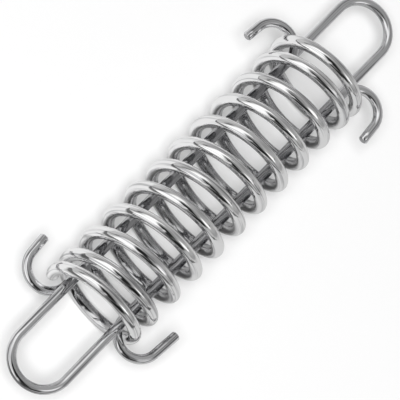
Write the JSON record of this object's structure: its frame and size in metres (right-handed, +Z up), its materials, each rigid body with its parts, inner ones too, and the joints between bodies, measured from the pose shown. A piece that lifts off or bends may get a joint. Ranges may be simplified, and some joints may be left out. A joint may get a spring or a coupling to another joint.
{
  "type": "extension spring",
  "caption": "Drawbar extension spring: two wire drawbars with an eye each squeeze a coil between their hooks when pulled apart.",
  "frame": {"origin": "under the middle of the coil, on the surface that the coil lies on", "axes": "+X along the coil's axis from the left drawbar's eye to the right drawbar's eye, +Z up, square to the planes of the two drawbars"},
  "size_m": [0.202, 0.0603, 0.04],
  "materials": {
    "coil_steel": "bright plated",
    "bar_steel": "bright plated"
  },
  "bodies": {
    "left_bar_and_coil": {"left_drawbar": "bar_steel", "coil_spring": "coil_steel"},
    "right_bar": {"right_drawbar": "bar_steel"}
  },
  "joints": [
    {"name": "extension", "type": "slide", "parent": "left_bar_and_coil", "child": "right_bar", "axis": [1, 0, 0], "range_m": [0, 0.06], "stiffness_N_per_m": 9900, "deforming": ["coil_spring"]}
  ]
}
